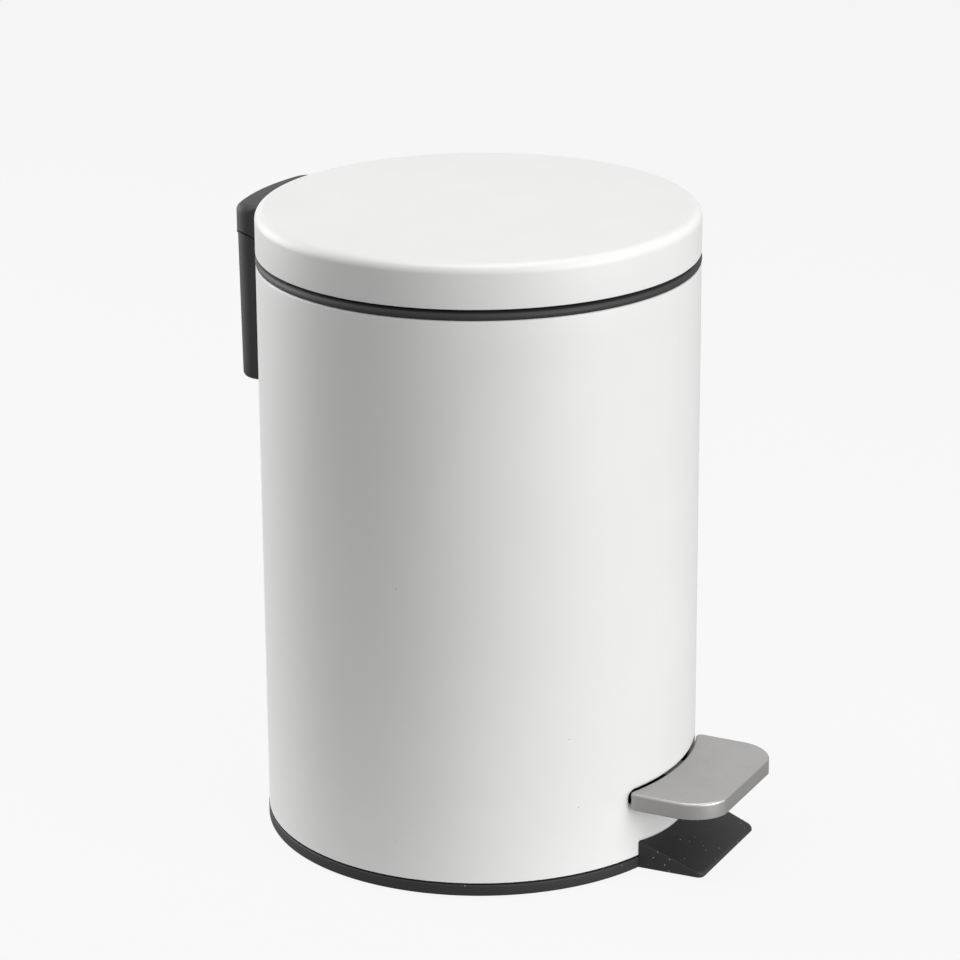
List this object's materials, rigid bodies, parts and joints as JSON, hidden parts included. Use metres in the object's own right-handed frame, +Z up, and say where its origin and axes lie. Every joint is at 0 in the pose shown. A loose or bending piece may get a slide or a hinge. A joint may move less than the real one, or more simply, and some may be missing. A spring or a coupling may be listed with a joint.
{
  "type": "pedal trash can",
  "caption": "Round white steel pedal bin with a hinged lid, foot pedal, lift rod, soft-close damper and a removable inner bucket with a bail.",
  "frame": {"origin": "middle of the footprint on the floor", "axes": "+Z up, -Y towards the pedal, +Y towards the hinge, +X to the right of someone who faces the pedal's back"},
  "size_m": [0.1706, 0.2104, 0.249],
  "materials": {
    "white_coat": "fine matt powder coat",
    "black_plastic": "moulded, fine texture",
    "brushed_steel": "stainless, brushed across",
    "plated_steel": "zinc plated",
    "rubber": "matt",
    "bucket_plastic": "moulded, satin",
    "pale_nylon": "moulded"
  },
  "bodies": {
    "can": {"body_shell": "white_coat", "top_ring": "black_plastic", "base": "black_plastic", "floor_deck": "black_plastic", "rear_cover": "black_plastic", "hinge_bracket": "plated_steel", "hinge_pin": "plated_steel", "hinge_pin_clip": "plated_steel", "rod_guide": "pale_nylon", "guide_rivet": "plated_steel", "damper_cylinder": "pale_nylon", "pedal_axle": "plated_steel", "axle_clip": "plated_steel", "bracket_rivet_left": "plated_steel", "bracket_rivet_right": "plated_steel", "cover_screw_left": "plated_steel", "cover_screw_right": "plated_steel", "foot_1": "rubber", "foot_2": "rubber", "foot_3": "rubber", "foot_4": "rubber", "lid_bumper_1": "rubber", "lid_bumper_2": "rubber", "lid_bumper_3": "rubber", "deck_screw_1": "plated_steel", "deck_screw_2": "plated_steel", "deck_screw_3": "plated_steel", "deck_screw_4": "plated_steel"},
    "lid": {"lid_shell": "white_coat", "lid_liner": "black_plastic", "hinge_cap": "black_plastic", "lid_lever": "plated_steel", "lid_screw_left": "plated_steel", "lid_screw_right": "plated_steel"},
    "rod": {"lift_rod": "plated_steel", "rod_clip_top": "plated_steel", "rod_clip_bottom": "plated_steel"},
    "damper_rod": {"damper_piston": "plated_steel"},
    "pedal": {"pedal_plate": "brushed_steel", "pedal_insert": "black_plastic", "pedal_lever": "plated_steel", "stud_nut_front": "plated_steel", "stud_nut_rear": "plated_steel"},
    "bucket": {"bucket": "bucket_plastic"},
    "bail": {"bucket_bail": "plated_steel"}
  },
  "joints": [
    {"name": "lid_open", "type": "hinge", "parent": "can", "child": "lid", "pos_m": [0, 0.0997, 0.217], "axis": [-1, 0, 0], "range_deg": [0, 78]},
    {"name": "rod_lift", "type": "slide", "parent": "can", "child": "rod", "axis": [0, 0, 1], "range_m": [0, 0.01573]},
    {"name": "damper_slide", "type": "slide", "parent": "can", "child": "damper_rod", "axis": [0, 0, 1], "range_m": [0, 0.00423]},
    {"name": "pedal_press", "type": "hinge", "parent": "can", "child": "pedal", "pos_m": [0, -0.0185, 0.0175], "axis": [1, 0, 0], "range_deg": [0, 8.29]},
    {"name": "bucket_lift", "type": "slide", "parent": "can", "child": "bucket", "axis": [0, 0, 1], "range_m": [0, 0.005]},
    {"name": "bail_swing", "type": "hinge", "parent": "bucket", "child": "bail", "pos_m": [0, 0.0095, 0.2324], "axis": [-1, 0, 0], "range_deg": [0, 3.5]}
  ],
  "couplings": [
    {"joint": "rod_lift", "follows": "lid_open", "m_per_rad": 0.01154},
    {"joint": "damper_slide", "follows": "lid_open", "m_per_rad": 0.0030931},
    {"joint": "pedal_press", "follows": "lid_open", "ratio": 0.10617}
  ]
}
